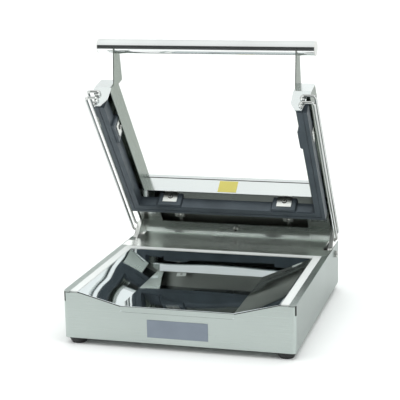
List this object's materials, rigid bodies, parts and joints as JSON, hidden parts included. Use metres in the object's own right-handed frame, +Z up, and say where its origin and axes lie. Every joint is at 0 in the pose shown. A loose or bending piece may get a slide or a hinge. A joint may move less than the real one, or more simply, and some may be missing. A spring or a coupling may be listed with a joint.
{
  "type": "paper bag heat sealer",
  "caption": "Table-top heat sealer: stainless base with a polished pan and white U strip, hinged U-shaped sealing head held open, handle bar, guard rods.",
  "frame": {"origin": "on the table under the middle of the machine as it stands with its head open", "axes": "+Z up, +X to the operator's right, +Y to the rear, where the head is hinged; the operator stands on the -Y side"},
  "size_m": [0.3885, 0.406, 0.4716],
  "materials": {
    "stainless_satin": "satin sheet, fine brushed",
    "stainless_mirror": "mirror-polished sheet",
    "zinc_steel": "zinc-plated, dull",
    "spring_steel": "drawn wire",
    "bronze": "sintered bronze",
    "heater_alloy": "cast, dark coating",
    "element_sheath": "heat-darkened tube",
    "chromed_steel": "bright chrome",
    "white_silicone": "smooth matt silicone rubber",
    "pale_plastic": "moulded, smooth",
    "black_rubber": "matt rubber",
    "black_plastic": "moulded, fine texture",
    "plate_blue_grey": "plain painted plate",
    "patch_yellow": "plain film"
  },
  "bodies": {
    "base": {"base_casing": "stainless_satin", "bottom_plate": "stainless_satin", "rear_panel": "stainless_satin", "rear_deck": "stainless_mirror", "hopper_pan": "stainless_mirror", "strip_carrier": "stainless_satin", "seal_strip_left": "white_silicone", "seal_strip_right": "white_silicone", "seal_strip_rear": "white_silicone", "name_plate": "plate_blue_grey", "foot_screws": "zinc_steel", "foot_front_left": "black_rubber", "foot_front_right": "black_rubber", "foot_rear_left": "black_rubber", "foot_rear_right": "black_rubber", "hinge_bracket_left": "zinc_steel", "hinge_bracket_right": "zinc_steel", "pivot_bolts": "zinc_steel", "pivot_nuts": "zinc_steel", "return_spring_left": "spring_steel", "return_spring_right": "spring_steel", "switch_body": "black_plastic", "thermostat": "black_plastic", "cable_gland": "black_plastic", "terminal_block": "pale_plastic"},
    "head": {"hinge_cheek_left": "stainless_satin", "hinge_cheek_right": "stainless_satin", "pivot_bush_left": "bronze", "pivot_bush_right": "bronze", "side_plate_left": "stainless_satin", "side_plate_right": "stainless_satin", "arm_cover_left": "stainless_satin", "arm_cover_right": "stainless_satin", "end_plate_left": "stainless_satin", "end_plate_right": "stainless_satin", "rear_hood": "stainless_satin", "hood_underplate": "stainless_satin", "cross_plate": "stainless_satin", "cross_plate_screw": "zinc_steel", "blank_patch": "patch_yellow", "heater_casting": "heater_alloy", "heating_element": "element_sheath", "element_terminals": "zinc_steel", "rear_clip_left": "stainless_satin", "rear_clip_right": "stainless_satin", "arm_clip_left": "stainless_satin", "arm_clip_right": "stainless_satin", "clip_screws": "zinc_steel", "clip_hangers": "zinc_steel", "handle_tube": "chromed_steel", "handle_cap_left": "pale_plastic", "handle_cap_right": "pale_plastic", "guard_rod_upper_left": "chromed_steel", "guard_rod_upper_right": "chromed_steel", "guard_rod_lower_left": "chromed_steel", "guard_rod_lower_right": "chromed_steel"},
    "rocker": {"switch_rocker": "black_plastic"},
    "knob": {"thermostat_knob": "black_plastic", "thermostat_shaft": "zinc_steel"}
  },
  "joints": [
    {"name": "head_hinge", "type": "hinge", "parent": "base", "child": "head", "pos_m": [0, 0.15519, 0.073], "axis": [1, 0, 0], "range_deg": [0, 51.5], "stiffness_Nm_per_rad": 3, "springref_deg": -143.24},
    {"name": "switch_rocker", "type": "hinge", "parent": "base", "child": "rocker", "pos_m": [0.12, 0.18319, 0.049], "axis": [1, 0, 0], "range_deg": [0, 16]},
    {"name": "thermostat_knob", "type": "hinge", "parent": "base", "child": "knob", "pos_m": [0.06, 0.18819, 0.049], "axis": [0, 1, 0], "range_deg": [0, 270]}
  ]
}
